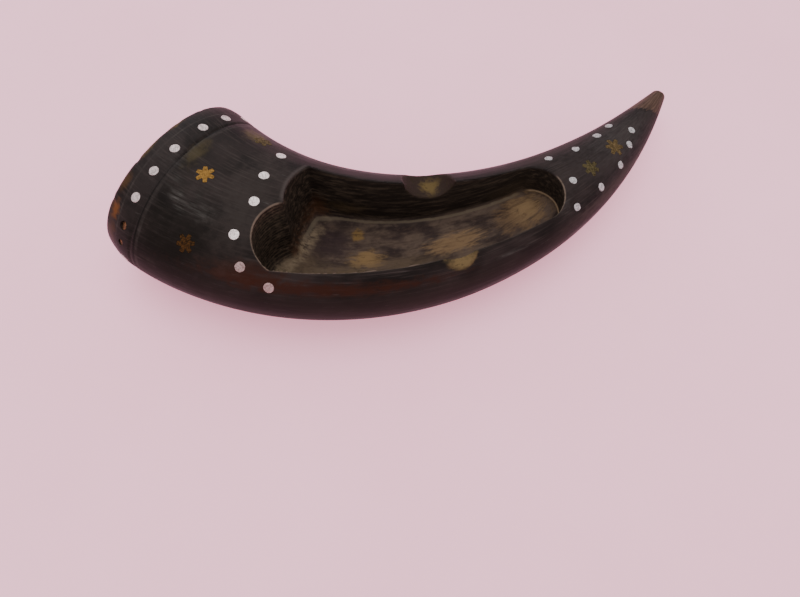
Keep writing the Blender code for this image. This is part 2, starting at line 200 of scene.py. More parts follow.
def end_scale(s):
    """How far the mouth's taper and the tip's rounding shrink the section at s."""
    s = np.asarray(s)
    taper = 1 - MOUTH_TAPER * np.maximum(0, 1 - np.maximum(s, 0) / MOUTH_TAPER_LENGTH) ** 2
    past = np.clip(1 - (HORN_LENGTH - s) / TIP_ROUNDING, 0, 1)
    return taper * np.sqrt(1 - past**2)


def centre_height(s):
    t = np.clip(np.asarray(s) / HORN_LENGTH, 0, 1)
    return half_sizes(s)[1] - GROUND_FLAT + TIP_LIFT * t**LIFT_POWER


def skew_at(s):
    return np.radians(MOUTH_SKEW) * np.exp(-((np.asarray(s) / MOUTH_SKEW_LENGTH) ** 2))


def section_point(s, phi, half_width, half_height):
    side = sideways(heading_at(s) + skew_at(s))
    plan = centre(s) + (half_width * np.cos(phi))[..., None] * side
    height = centre_height(s) + half_height * np.sin(phi)
    return np.concatenate([plan, height[..., None]], -1)


def slanted(s, phi):
    """s moved with the slant of the mouth's band."""
    share = s / GROOVE_S * np.exp(1 - s / GROOVE_S)
    return s + share * (SLANT * np.cos(phi) + SLANT_BOW * np.cos(phi) ** 2)


def horn_point(s, phi, inset=0.0):
    s, phi = np.broadcast_arrays(np.asarray(s, float), np.asarray(phi, float))
    width, height = half_sizes(s)
    scale = end_scale(s)
    return section_point(s, phi, width * scale - inset, height * scale - inset)


def horn_frame_at(s, phi):
    """Matrix at a place on the horn's surface: X along the horn, Z along the outward normal."""
    step = 0.5 * MM
    turn = 0.01
    ahead = Vector(horn_point(s + step, phi) - horn_point(s - step, phi))
    across = Vector(horn_point(s, phi + turn) - horn_point(s, phi - turn))
    normal = across.cross(ahead).normalized()
    x = (ahead - normal * ahead.dot(normal)).normalized()
    matrix = Matrix((x, normal.cross(x), normal)).transposed().to_4x4()
    matrix.translation = Vector(horn_point(s, phi))
    return matrix


def plan_point(s, offset):
    return centre(s) + np.asarray(offset)[..., None] * sideways(heading_at(s))


# ---------------------------------------------------------------- arrays, noise and meshes

def smoothstep(x, low, high):
    t = np.clip((x - low) / (high - low), 0, 1)
    return t * t * (3 - 2 * t)


def lattice(cells, seed):
    """A repeatable number from -1 to 1 for each whole-numbered cell."""
    n = cells[..., 0] * 374761393 + cells[..., 1] * 668265263 + cells[..., 2] * 1440662683 + seed * 97471
    n = (n ^ (n >> 13)) * 1274126177
    return ((n ^ (n >> 16)) & 0xFFFF) / 32767.5 - 1


def ripple(points, size, seed=0):
    """Smooth noise from -1 to 1 with cells of the size given along each axis."""
    scaled = np.asarray(points) / np.asarray(size)
    base = np.floor(scaled).astype(np.int64)
    part = scaled - base
    part = part * part * (3 - 2 * part)
    total = np.zeros(len(scaled))
    for corner in np.ndindex(2, 2, 2):
        weight = np.prod(np.where(corner, part, 1 - part), -1)
        total += weight * lattice(base + corner, seed)
    return total


def coords(mesh):
    flat = np.empty(len(mesh.vertices) * 3, np.float32)
    mesh.vertices.foreach_get("co", flat)
    return flat.reshape(-1, 3).astype(float)


def normals(mesh):
    flat = np.empty(len(mesh.vertices) * 3, np.float32)
    mesh.vertex_normals.foreach_get("vector", flat)
    return flat.reshape(-1, 3).astype(float)


def set_coords(mesh, points):
    mesh.vertices.foreach_set("co", np.asarray(points, np.float32).ravel())
    mesh.update()


def object_of(name, mesh):
    piece = bpy.data.objects.new(name, mesh)
    bpy.context.scene.collection.objects.link(piece)
    return piece


def ring_mesh(name, rings):
    """Closed mesh through rings of equal point counts, capped at both ends."""
    rings = np.asarray(rings)
    count, sides = rings.shape[:2]
    i, j = np.meshgrid(np.arange(count - 1), np.arange(sides), indexing="ij")
    across = (j + 1) % sides
    near, far = i * sides, (i + 1) * sides
    quads = np.stack([near + j, near + across, far + across, far + j], -1)
    faces = quads.reshape(-1, 4).tolist()
    faces.append(list(range(sides))[::-1])
    faces.append([(count - 1) * sides + k for k in range(sides)])
    mesh = bpy.data.meshes.new(name)
    mesh.from_pydata(rings.reshape(-1, 3).tolist(), [], faces)
    if signed_volume(mesh) < 0:
        mesh.flip_normals()
    return mesh


def signed_volume(mesh):
    points = coords(mesh)
    mesh.calc_loop_triangles()
    corners = np.empty(len(mesh.loop_triangles) * 3, np.int32)
    mesh.loop_triangles.foreach_get("vertices", corners)
    return np.linalg.det(points[corners.reshape(-1, 3)]).sum()


def baked(piece):
    """Applies the piece's modifiers to its mesh."""
    evaluated = piece.evaluated_get(bpy.context.evaluated_depsgraph_get())
    mesh = bpy.data.meshes.new_from_object(evaluated)
    piece.modifiers.clear()
    piece.data = mesh
    return piece


def cut(piece, cutters, solver="MANIFOLD"):
    """Takes the cutters out of the piece and removes them."""
    for cutter in cutters:
        modifier = piece.modifiers.new(cutter.name, "BOOLEAN")
        modifier.operation = "DIFFERENCE"
        modifier.solver = solver
        modifier.object = cutter
    baked(piece)
    for cutter in cutters:
        bpy.data.objects.remove(cutter)


def smooth_shaded(piece, angle=40):
    piece.data.shade_smooth()
    piece.data.set_sharp_from_angle(angle=math.radians(angle))


# ---------------------------------------------------------------- the tray

def bowed_run(start, stop, bow):
    """Points of a circular arc from start that bows to the left by the distance given, without its end."""
    half = (stop - start) / 2
    length = np.linalg.norm(half)
    ahead = half / length
    left = np.array([-ahead[1], ahead[0]])
    reach = 2 * math.atan(bow / length)
    radius = length / math.sin(reach)
    steps = math.ceil(2 * reach * radius / RIM_STEP)
    turn = (reach * (2 * np.arange(steps) / steps - 1))[:, None]
    rise = radius * (np.cos(turn) - math.cos(reach))
    return start + half + ahead * radius * np.sin(turn) + left * rise


def tray_outline():
    """The rim in plan, as the CAD model has it, sampled finely."""
    corners = np.array(RIM_CORNERS) * MM
    runs = [bowed_run(a[:2], b[:2], a[2]) for a, b in zip(corners, np.roll(corners, -1, 0))]
    places = np.concatenate(runs)
    return plan_point(places[:, 0], places[:, 1])


def floor_height(plan):
    """Height of the tray's floor plane over plan points."""
    s, height = FLOOR_START
    end_s = s + 100 * MM
    start = centre(s)
    run = centre(end_s) - start
    rise = FLOOR_SLOPE * (end_s - s) / (run @ run)
    return height + (plan - start) @ run * rise


def lots(points):
    """The points in lots small enough to compare with a whole loop at once."""
    return np.array_split(points, max(1, len(points) // LOT))


def loop_distance(points, loop):
    """Distance of each point to a closed loop's nearest side."""
    side = np.roll(loop, -1, 0) - loop
    distances = []
    for lot in lots(points):
        away = lot[:, None] - loop
        share = np.clip((away * side).sum(-1) / (side * side).sum(-1), 0, 1)
        distances.append(np.linalg.norm(away - share[..., None] * side, axis=-1).min(1))
    return np.concatenate(distances)


def inside(plan, outline):
    """Whether each plan point lies inside the outline."""
    after = np.roll(outline, -1, 0)
    found = []
    for lot in lots(plan):
        x, y = lot[:, :1], lot[:, 1:]
        spans = (outline[:, 1] > y) != (after[:, 1] > y)
        rise = np.where(after[:, 1] == outline[:, 1], 1, after[:, 1] - outline[:, 1])
        cross = outline[:, 0] + (y - outline[:, 1]) / rise * (after[:, 0] - outline[:, 0])
        found.append((spans & (cross > x)).sum(1) % 2 == 1)
    return np.concatenate(found)


def foot_height(plan, outline):
    """Height of the tray's bottom: the floor, rising round the foot of the wall."""
    start, stop = FOOT_FADE
    share = np.clip((plan - centre(start)) @ forwards(start) / (stop - start), 0, 1)
    radius = MOUTH_FOOT + (FOOT - MOUTH_FOOT) * share
    short = np.clip(1 - loop_distance(plan, outline) / radius, 0, 1)
    return floor_height(plan) + radius * (1 - np.sqrt(1 - short**2))


def tray_cutter(outline):
    low = np.floor(outline.min(0) / FLOOR_STEP).astype(int)
    high = np.ceil(outline.max(0) / FLOOR_STEP).astype(int)
    grid = np.stack(np.meshgrid(*(np.arange(a, b) for a, b in zip(low, high)), indexing="ij"), -1)
    grid = grid.reshape(-1, 2) * FLOOR_STEP
    grid = grid[inside(grid, outline)]
    grid = grid[loop_distance(grid, outline) > FLOOR_STEP / 3]
    rim = list(range(len(outline)))
    plan = [Vector(p) for p in np.concatenate([outline, grid])]
    points, _, faces, *_ = delaunay_2d_cdt(plan, [], [rim], 1, 1e-7)
    bottom = np.array([tuple(p) for p in points])
    heights = foot_height(bottom, outline)
    bottom = np.column_stack([bottom, heights])
    top = np.column_stack([outline, np.full(len(outline), TRAY_TOP)])
    above = [len(bottom) + i for i in rim]
    walls = [(above[i], above[(i + 1) % len(rim)], (i + 1) % len(rim), i) for i in rim]
    mesh = bpy.data.meshes.new("tray_cut")
    flipped = [list(face)[::-1] for face in faces]
    mesh.from_pydata(np.concatenate([bottom, top]).tolist(), [], flipped + walls + [above])
    mesh.update()
    mesh.validate()
    repair_normals(mesh)
    return object_of("tray_cut", mesh)


def repair_normals(mesh):
    bm = bmesh.new()
    bm.from_mesh(mesh)
    bmesh.ops.recalc_face_normals(bm, faces=bm.faces)
    bm.to_mesh(mesh)
    bm.free()


def rest_matrix(name):
    """Matrix that lays a Z cylinder across the rim, falling outwards."""
    s, offset, low, radius, fall = RESTS[name]
    outwards = Vector((*sideways(heading_at(s)), 0)) * math.copysign(1, offset)
    direction = outwards * math.cos(math.radians(fall)) - Vector((0, 0, math.sin(math.radians(fall))))
    above = (Vector((0, 0, 1)) - direction * direction.z).normalized()
    matrix = Matrix((above.cross(direction), above, direction)).transposed().to_4x4()
    matrix.translation = Vector((*plan_point(s, offset), low)) + above * radius
    return matrix


def round_angles(count):
    return np.linspace(0, 2 * np.pi, count, endpoint=False)


def prism(name, flat, low, high, matrix):
    """A cutter of the outline given, along the matrix's Z between two heights."""
    ends = [np.column_stack([flat, np.full(len(flat), z)]) for z in (low, high)]
    cutter = object_of(name, ring_mesh(name, ends))
    cutter.data.transform(matrix)
    return cutter


def circle(radius, sides=96):
    angles = round_angles(sides)
    return np.stack([radius * np.cos(angles), radius * np.sin(angles)], -1)


def rest_cutter(name):
    reach = REST_LENGTH / 2
    return prism(f"{name}_rest_cut", circle(RESTS[name][3]), -reach, reach, rest_matrix(name))


# ---------------------------------------------------------------- the horn

def hollow_rings(gap, shares):
    """Rings of the mouth's hollow down to its rounded end, shrunk all round by the gap."""
    phi = round_angles(SIDES)
    rings = []
    for share in shares:
        s = np.full(SIDES, HOLLOW_DEPTH * share)
        nose = math.sqrt(1 - share**HOLLOW_POWER)
        width, height = half_sizes(s)
        taper = end_scale(s)
        half_width = (width * taper - HOLLOW_WALL) * nose - gap
        half_height = (height * taper - HOLLOW_WALL) * nose - gap
        rings.append(section_point(s, phi, half_width, half_height))
    return np.array(rings)


def hollow_cutter():
    rings = hollow_rings(0, (0, 0.1, 0.25, 0.4, 0.55, 0.7, 0.8, 0.88, 0.94, 0.98, 0.995))
    out = np.append(forwards(0.0), 0)
    rings = np.concatenate([[rings[0] - MOUTH_OVERSHOOT * out], rings])
    return object_of("hollow_cut", ring_mesh("hollow_cut", rings))


def horn_blank():
    """The uncut horn, with its chamfered mouth edge and the groove round the mouth band."""
    fine = np.arange(0, 30 * MM, 0.25 * MM)
    body = np.arange(30 * MM, HORN_LENGTH - TIP_ROUNDING, RING_STEP)
    tip = HORN_LENGTH - TIP_ROUNDING * np.cos(np.linspace(0, np.pi / 2 * 0.995, 14))
    s = np.concatenate([fine, body, tip])[:, None]
    phi = round_angles(SIDES)[None, :]
    chamfer = EDGE_CHAMFER * np.clip(1 - s / EDGE_CHAMFER_LENGTH, 0, 1)
    groove = GROOVE_DEPTH * np.clip(1 - ((s - GROOVE_S) / GROOVE_HALF_WIDTH) ** 2, 0, 1)
    rings = horn_point(slanted(s, phi), phi, chamfer + groove)
    rings[..., 2] = np.maximum(rings[..., 2], 0)
    return object_of("horn_body_looks", ring_mesh("horn_body_looks", rings))


def places_of(points):
    """s, phi, plan offset and depth below the uncut surface of each point."""
    stations = np.linspace(0, HORN_LENGTH, CENTRELINE_STEPS + 1)
    line = centre(stations)
    nearest = np.concatenate([
        ((lot[:, None, :2] - line) ** 2).sum(-1).argmin(1) for lot in lots(points)
    ])
    at = stations[nearest]
    away = points[:, :2] - line[nearest]
    offset = (away * sideways(heading_at(at))).sum(-1)
    s = at + (away * forwards(at)).sum(-1)
    s_true = s
    for _ in range(3):
        s_true = np.clip(s + offset * np.tan(skew_at(s_true)), 0, HORN_LENGTH)
    width, height = half_sizes(s_true)
    scale = np.maximum(end_scale(s_true), 0.05)
    across = offset / (width * scale)
    up = (points[:, 2] - centre_height(s_true)) / (height * scale)
    phi = np.arctan2(up, across)
    phi = np.where(phi < -np.pi / 2, phi + 2 * np.pi, phi)
    depth = (1 - np.hypot(across, up)) * np.hypot(width * np.cos(phi), height * np.sin(phi))
    return s_true, phi, offset, depth


def rest_share(points):
    """1 on the surface of a rest, 0 elsewhere."""
    share = np.zeros(len(points))
    for name, (*_, radius, _) in RESTS.items():
        inverse = np.array(rest_matrix(name).inverted())
        local = points @ inverse[:3, :3].T + inverse[:3, 3]
        off = np.abs(np.hypot(local[:, 0], local[:, 1]) - radius)
        own_end = local[:, 2] > -12 * MM
        share = np.maximum(share, (1 - smoothstep(off, 0.25 * MM, 0.6 * MM)) * own_end)
    return share


def rim_curve(outline):
    """The tray's rim in space, on the uncut surface."""
    points = np.column_stack([outline, np.zeros(len(outline))])
    s, _, offset, _ = places_of(points)
    width, height = half_sizes(s)
    up = np.sqrt(np.clip(1 - (offset / width) ** 2, 0, 1))
    return np.column_stack([outline, centre_height(s) + height * up])


def curve_distance(points, curve, within=4 * MM):
    """Distance to a closed curve, cut off at the distance given."""
    found = np.full(len(points), within)
    low, high = curve.min(0) - within, curve.max(0) + within
    near = np.flatnonzero(((points > low) & (points < high)).all(1))
    found[near] = np.minimum(loop_distance(points[near], curve), within)
    return found


def carve_marks(points, facing):
    """How far tool marks move each point along its normal."""
    s, phi, offset, depth = places_of(points)
    in_tray = smoothstep(depth, 0.5 * MM, 1.2 * MM) * (s > TRAY_BEFORE) * (points[:, 2] > TRAY_LOWEST)
    floor = in_tray * smoothstep(facing[:, 2], 0.75, 0.95)
    wall = in_tray * (1 - smoothstep(facing[:, 2], 0.3, 0.7))
    local = np.stack([s, offset, points[:, 2]], -1)
    streaks = ripple(local, (22 * MM, 1.4 * MM, 8 * MM), 3) * 0.10 * MM
    scoops = ripple(local, (9 * MM, 6 * MM, 30 * MM), 4) * 0.22 * MM
    shelves = ripple(local, (18 * MM, 30 * MM, 1.5 * MM), 5) * 0.16 * MM
    around = np.stack([s, phi * GIRTH_RADIUS, np.zeros(len(s))], -1)
    filed = ripple(around, (30 * MM, 1.6 * MM, 1), 6) * 0.035 * MM
    flats = ripple(around, (26 * MM, 9 * MM, 1), 7) * 0.10 * MM
    outside = 1 - in_tray
    above_ground = smoothstep(points[:, 2], 0.2 * MM, 3 * MM)
    return floor * (streaks + scoops) + wall * shelves + outside * (filed + flats) * above_ground


def edge_chips(points):
    """How far small chips take the mouth's edge back."""
    s, phi, _, _ = places_of(points)
    around = np.stack([s * 0.4, phi * GIRTH_RADIUS, np.zeros(len(s))], -1)
    bite = np.clip(ripple(around, (3 * MM, 3.2 * MM, 1), 8) - 0.45, 0, 1)
    return bite * 0.55 * MM * (1 - smoothstep(s, 0.4 * MM, 2.6 * MM))


def horn_solid(outline):
    """The carved horn, with softened edges and tool marks, before its sockets."""
    horn = horn_blank()
    cut(horn, [hollow_cutter(), tray_cutter(outline)] + [rest_cutter(name) for name in RESTS])
    remesh = horn.modifiers.new("remesh", "REMESH")
    remesh.mode = "VOXEL"
    remesh.voxel_size = VOXEL
    soften = horn.modifiers.new("soften", "SMOOTH")
    soften.factor = 0.5
    soften.iterations = 3
    baked(horn)
    mesh = horn.data
    points = coords(mesh)
    facing = normals(mesh)
    points = points + facing * (carve_marks(points, facing) - edge_chips(points))[:, None]
    points[:, 2] = np.maximum(points[:, 2], 0)
    set_coords(mesh, points)
    mesh.calc_loop_triangles()
    thin = horn.modifiers.new("thin", "DECIMATE")
    thin.ratio = min(1, HORN_TRIANGLES / len(mesh.loop_triangles))
    return baked(horn)


def refine_rim(piece, outline):
    """Splits the faces along the tray's rim, so that its worn line is drawn finely."""
    bm = bmesh.new()
    bm.from_mesh(piece.data)
    near = curve_distance(coords(piece.data), rim_curve(outline)) < RIM_BAND
    edges = [edge for edge in bm.edges if all(near[vertex.index] for vertex in edge.verts)]
    bmesh.ops.subdivide_edges(bm, edges=edges, cuts=1)
    bmesh.ops.triangulate(bm, faces=[face for face in bm.faces if len(face.verts) > 3])
    bm.to_mesh(piece.data)
    bm.free()


def store(mesh, name, values):
    kind = "FLOAT_VECTOR" if np.ndim(values) == 2 else "FLOAT"
    field = "vector" if kind == "FLOAT_VECTOR" else "value"
    attribute = mesh.attributes.new(name, kind, "POINT")
    attribute.data.foreach_set(field, np.asarray(values, np.float32).ravel())


def mark_horn(mesh, outline):
    """Stores what the horn's material needs to know about each point."""
    points = coords(mesh)
    s, phi, offset, depth = places_of(points)
    rim = curve_distance(points, rim_curve(outline))
    over_floor = points[:, 2] - floor_height(points[:, :2])
    end_face = (s < 0.8 * MM) & (depth > 0.6 * MM)
    in_tray = smoothstep(depth, 0.3 * MM, 0.9 * MM) * (s > TRAY_BEFORE) * (points[:, 2] > TRAY_LOWEST)
    store(mesh, "skin", np.stack([s, phi * GIRTH_RADIUS, depth], -1))
    store(mesh, "carving", np.stack([s, offset, over_floor], -1))
    store(mesh, "rim_gap", rim)
    store(mesh, "in_tray", in_tray)
    store(mesh, "band", GROOVE_S + s - slanted(GROOVE_S, phi))
    store(mesh, "in_rest", rest_share(points))
    store(mesh, "end_face", end_face.astype(float))


# ---------------------------------------------------------------- inlays and plug

def inlay(name, matrix, reach, depth, surface, edge=0.22 * MM, proud=PROUD, tilt=0.0, seed=0):
    """A solid whose top follows the horn's surface. reach gives its radius at each angle."""
    sides = len(reach)
    angles = round_angles(sides)
    ray = matrix.to_3x3() @ Vector((0, 0, -1))
    rings = []
    shares = [1, 1, 0.985, 0.96, 0.9, 0.78, 0.6, 0.4, 0.2, 0.02]
    drops = [depth, edge, 0.35 * edge, 0, 0, 0, 0, 0, 0, 0]
    for share, drop in zip(shares, drops):
        x = reach * share * np.cos(angles)
        y = reach * share * np.sin(angles)
        top = np.empty(sides)
        for k in range(sides):
            start = matrix @ Vector((x[k], y[k], 3 * MM))
            hit = surface.ray_cast(start, ray, 8 * MM)
            top[k] = 3 * MM - hit[3] if hit[0] else 0.0
        if share == 1 and drop == depth:
            rings.append(np.column_stack([x, y, np.full(sides, -depth)]))
            continue
        level = np.column_stack([x, y, np.full(sides, seed * 7 * MM)])
        rough = ripple(level, (0.9 * MM, 0.9 * MM, 1), 11 + seed) * 0.03 * MM
        lean = x * math.tan(math.radians(tilt))
        rings.append(np.column_stack([x, y, top + proud + rough + lean - drop]))
    piece = object_of(name + "_looks", ring_mesh(name + "_looks", rings))
    piece.data.transform(matrix)
    smooth_shaded(piece, 50)
    return piece


def socket(name, matrix, reach, depth):
    angles = round_angles(len(reach))
    flat = np.stack([reach * np.cos(angles), reach * np.sin(angles)], -1)
    return prism(name + "_socket", flat, -depth, SOCKET_TOP, matrix)


def round_reach(radius, seed, uneven, sides=40):
    """Radius of a hand-cut pin at each angle."""
    angles = round_angles(sides)
    loop = np.stack([np.cos(angles), np.sin(angles), np.full(sides, seed * 3.7)], -1)
    return radius * (1 + uneven * ripple(loop, (0.7, 0.7, 1), 21) - uneven / 2)


def star_reach(radius, seed, sides=144):
    """Radius of a six-armed star with blunt arms at each angle."""
    angles = round_angles(sides)
    turn = np.pi / STAR_ARMS
    off_arm = np.abs((angles + turn) % (2 * turn) - turn)
    corner = np.array([radius, STAR_TIP_HALF_WIDTH])
    valley = STAR_VALLEY * radius * np.array([math.cos(turn), math.sin(turn)])
    side = valley - corner
    across = np.cos(off_arm) * side[1] - np.sin(off_arm) * side[0]
    flank = (corner[0] * side[1] - corner[1] * side[0]) / across
    reach = np.minimum(radius / np.cos(off_arm), flank)
    reach = (np.roll(reach, 1) + 2 * reach + np.roll(reach, -1)) / 4
    loop = np.stack([np.cos(angles), np.sin(angles), np.full(sides, seed * 2.3)], -1)
    return reach * (1 + 0.06 * ripple(loop, (0.5, 0.5, 1), 23))


def inlays():
    """Name, matrix, reach, depth and material of every pin and star."""
    found = []
    for number, angle in enumerate(RIM_PIN_ANGLES, start=1):
        phi = math.radians(angle)
        name = f"rim_pin_{number:02}"
        matrix = horn_frame_at(slanted(RIM_PIN_S, phi), phi)
        radius = WORN_PINS[name][0] if name in WORN_PINS else PIN_RADIUS
        reach = round_reach(radius, number, 0.05)
        found.append((name, matrix, reach, RIM_PIN_LENGTH, "pin_metal"))
    rows = (("tray_pin", TRAY_PINS, PIN_RADIUS, 0.05), ("tip_pin", TIP_PINS, TIP_PIN_RADIUS, 0.16))
    for kind, places, radius, uneven in rows:
        for number, (s, angle) in enumerate(places, start=1):
            matrix = horn_frame_at(s * MM, math.radians(angle))
            reach = round_reach(radius, number + 20, uneven)
            found.append((f"{kind}_{number:02}", matrix, reach, INLAY_DEPTH, "pin_metal"))
    for number, (s, angle, radius, turn) in enumerate(STARS, start=1):
        matrix = horn_frame_at(s * MM, math.radians(angle)) @ Matrix.Rotation(math.radians(turn), 4, "Z")
        reach = star_reach(radius * MM, number)
        found.append((f"star_{number:02}", matrix, reach, STAR_DEPTH, "star_brass"))
    return found


def wooden_plug():
    """The plug, with saw marks across its end and a drying crack."""
    shares = (0.995, 0.98, 0.94, 0.88, 0.8, 0.7, 0.55, 0.4, 0.25, 0.12, 0.03, 0.012)
    rings = list(hollow_rings(PLUG_GAP, shares))
    rim = rings[-1]
    middle = rim.mean(0)
    out = -np.append(forwards(0.0), 0)
    side = np.array([out[1], -out[0], 0])
    for share in (0.985, 0.96, 0.9, 0.8, 0.7, 0.6, 0.5, 0.4, 0.3, 0.2, 0.1, 0.02):
        ring = middle + (rim - middle) * share
        across = (ring - middle) @ side
        up = ring[:, 2] - middle[2]
        local = np.stack([across, up, np.zeros(len(ring))], -1)
        saw = 0.09 * MM * np.sin((across * 0.35 + up) / (1.1 * MM))
        saw += 0.12 * MM * ripple(local, (9 * MM, 4 * MM, 1), 31)
        crack_line = np.abs(up - 0.35 * across - 1.5 * MM * np.sin(across / (5 * MM)))
        crack = 0.8 * MM * (1 - smoothstep(crack_line, 0.05 * MM, 0.45 * MM)) * (across > -2 * MM)
        lift = 0.25 * MM * (share < 0.97)
        rings.append(ring + out * (lift + saw - crack)[:, None])
    return object_of("end_plug_looks", ring_mesh("end_plug_looks", rings))


# ---------------------------------------------------------------- material tools

class Shade:
    """A node material under construction, with short calls for the nodes that it uses."""

    def __init__(self, name, roughness=0.5, metallic=0.0, specular=0.5):
        self.material = bpy.data.materials.new(name)
        self.material.use_nodes = True
        self.tree = self.material.node_tree
        self.shader = self.tree.nodes["Principled BSDF"]
        self.shader.inputs["Roughness"].default_value = roughness
        self.shader.inputs["Metallic"].default_value = metallic
        self.shader.inputs["Specular IOR Level"].default_value = specular

    def node(self, kind, inputs=(), **settings):
        node = self.tree.nodes.new(kind)
        for key, value in settings.items():
            setattr(node, key, value)
        for key, value in dict(inputs).items():
            self.feed(node.inputs[key], value)
        return node

    def feed(self, socket_in, value):
        if isinstance(value, bpy.types.NodeSocket):
            self.tree.links.new(value, socket_in)
        elif isinstance(value, tuple) and socket_in.type == "RGBA":
            socket_in.default_value = (*value, 1)
        else:
            socket_in.default_value = value

    def attribute(self, name, field="Vector"):
        return self.node("ShaderNodeAttribute", attribute_name=name).outputs[field]

    def math(self, operation, a, b=0.0, c=0.0, clamp=False):
        inputs = {0: a, 1: b, 2: c}
        return self.node("ShaderNodeMath", inputs, operation=operation, use_clamp=clamp).outputs[0]

    def noise(self, vector, scale, detail, rough, distortion=0.0, shift=(0.0, 0.0, 0.0)):
        placing = {"Vector": vector, "Scale": scale, "Location": shift}
        placed = self.node("ShaderNodeMapping", placing).outputs[0]
        inputs = {
            "Vector": placed, "Scale": 1.0, "Detail": detail, "Roughness": rough, "Distortion": distortion,
        }
        return self.node("ShaderNodeTexNoise", inputs).outputs[0]

    def step(self, value, low, high, to_low=0.0, to_high=1.0):
        inputs = {"Value": value, 1: low, 2: high, 3: to_low, 4: to_high}
        return self.node("ShaderNodeMapRange", inputs, interpolation_type="SMOOTHSTEP").outputs[0]

    def mix(self, share, a, b):
        node = self.node("ShaderNodeMix", data_type="RGBA")
        self.feed(node.inputs[0], share)
        self.feed(node.inputs[6], a)
        self.feed(node.inputs[7], b)
        return node.outputs[2]

    def plus(self, a, b):
        return self.math("ADD", a, b)

    def minus(self, a, b):
        return self.math("SUBTRACT", a, b)

    def times(self, *values):
        result = values[0]
        for value in values[1:]:
            result = self.math("MULTIPLY", result, value)
        return result

    def split(self, vector):
        return self.node("ShaderNodeSeparateXYZ", {0: vector}).outputs

    def bump(self, height, distance, strength=1.0, normal=None):
        inputs = {"Height": height, "Distance": distance, "Strength": strength}
        if normal is not None:
            inputs["Normal"] = normal
        return self.node("ShaderNodeBump", inputs).outputs[0]

    def finish(self, color=None, roughness=None, normal=None):
        for key, value in (("Base Color", color), ("Roughness", roughness), ("Normal", normal)):
            if value is not None:
                self.feed(self.shader.inputs[key], value)
        return self.material


def patch(shade, axes, middle, half, softness, wobble):
    """Mask of an oval patch: its middle and half sizes along two axes, its edge broken by wobble."""
    x = shade.math("DIVIDE", shade.minus(axes[0], middle[0]), half[0])
    y = shade.math("DIVIDE", shade.minus(axes[1], middle[1]), half[1])
    squares = shade.plus(shade.math("POWER", x, 2.0), shade.math("POWER", y, 2.0))
    reach = shade.plus(shade.math("SQRT", squares), wobble)
    return shade.step(reach, 1 - softness, 1 + softness, 1.0, 0.0)


def line(shade, value, middle, half):
    """Mask of a thin line where the value is near the middle."""
    off = shade.math("ABSOLUTE", shade.minus(value, middle))
    return shade.step(off, 0.3 * half, half, 1.0, 0.0)


# Patches on the outside: s in mm, phi in degrees, half sizes in the same, softness, colour, strength
SKIN_PATCHES = (
    # painted shade: the whole far (concave) flank made darker against the light bounced up from the floor
    (130, 12, 150, 26, 0.8, (0.009, 0.007, 0.006), 0.7),
    (34, 140, 20, 30, 0.8, (0.008, 0.006, 0.0045), 0.75),
    (110, 168, 70, 14, 0.8, (0.017, 0.0125, 0.010), 0.7),
    (11, 112, 6, 34, 0.8, (0.034, 0.024, 0.023), 0.5),
    (226, 108, 34, 44, 0.8, (0.042, 0.031, 0.031), 0.5),
    (86, 151, 32, 5, 0.8, (0.034, 0.010, 0.005), 0.75),
    (60, 146, 10, 8, 0.8, (0.036, 0.010, 0.005), 0.7),
    (52, 100, 9, 36, 0.8, (0.040, 0.029, 0.026), 0.6),
    (21, 84, 3.0, 9, 0.8, (0.070, 0.050, 0.022), 0.55),
    (33, 42, 6, 7, 0.8, (0.110, 0.078, 0.032), 0.6),
    (2.2, 142, 1.8, 6, 0.6, (0.15, 0.050, 0.012), 0.8),
    (2, 160, 2.0, 9, 0.7, (0.060, 0.030, 0.015), 0.7),
    (1.0, 100, 1.6, 7, 0.6, (0.12, 0.070, 0.024), 0.6),
    (1.0, 78, 1.6, 6, 0.6, (0.12, 0.070, 0.024), 0.6),
    (1.5, 124, 1.8, 6, 0.7, (0.08, 0.036, 0.012), 0.6),
    (212, 162, 26, 9, 0.8, (0.055, 0.039, 0.032), 0.5),
    # painted reflection: the next two are pale bands low on the near flank and tip edge, where the pale
    # floor is reflected
    (215, 202, 46, 18, 0.8, (0.115, 0.088, 0.078), 0.65),
    (246, 203, 26, 24, 0.7, (0.230, 0.165, 0.125), 0.85),
)

# Scuffs on the outside: s in mm, phi in degrees, half sizes in the same, strength
SCUFFS = (
    (25.6, 113, 2.2, 4, 0.5),
    (34, 115, 7, 5, 0.28),
    (30, 104, 22, 12, 0.08),
    (20, 94, 3, 10, 0.15),
    (154, 150, 7, 2.0, 0.4),
    (230, 95, 14, 30, 0.25),
    (180, 128, 3, 8, 0.4),
)
SCUFF_COLOR = (0.130, 0.116, 0.106)

# Patches in the tray: s and offset in mm, half sizes, softness, colour, strength
TRAY_PATCHES = (
    (70, -8, 11, 8, 0.8, (0.105, 0.071, 0.045), 0.75),
    (64, -13, 4, 4, 0.7, (0.150, 0.108, 0.068), 0.7),
    (82, 6, 10, 7, 0.6, (0.036, 0.022, 0.023), 0.8),
    (94, 11, 2.6, 3.0, 0.5, (0.190, 0.110, 0.040), 0.85),
    (98.5, -2, 6.5, 4.2, 0.5, (0.215, 0.130, 0.058), 0.85),
    (92, -9, 9, 3.5, 0.8, (0.110, 0.074, 0.044), 0.7),
    (116, -6, 12, 3.5, 0.8, (0.085, 0.057, 0.036), 0.6),
    (137.5, -1, 11.5, 4.4, 0.5, (0.185, 0.112, 0.058), 0.85),
    (131, -11, 12, 4.5, 0.8, (0.090, 0.059, 0.038), 0.6),
    (171, 0, 11, 8.5, 0.5, (0.125, 0.074, 0.040), 0.85),
    (174, 1, 6, 5, 0.8, (0.215, 0.135, 0.068), 0.75),
)
WALL_PATCHES = (
    (72, 6, 5, 6, 0.8, (0.085, 0.036, 0.018), 0.7),
    (86, 9, 10, 3, 0.8, (0.080, 0.050, 0.026), 0.6),
    (170, 6, 10, 4, 0.8, (0.060, 0.040, 0.026), 0.5),
)


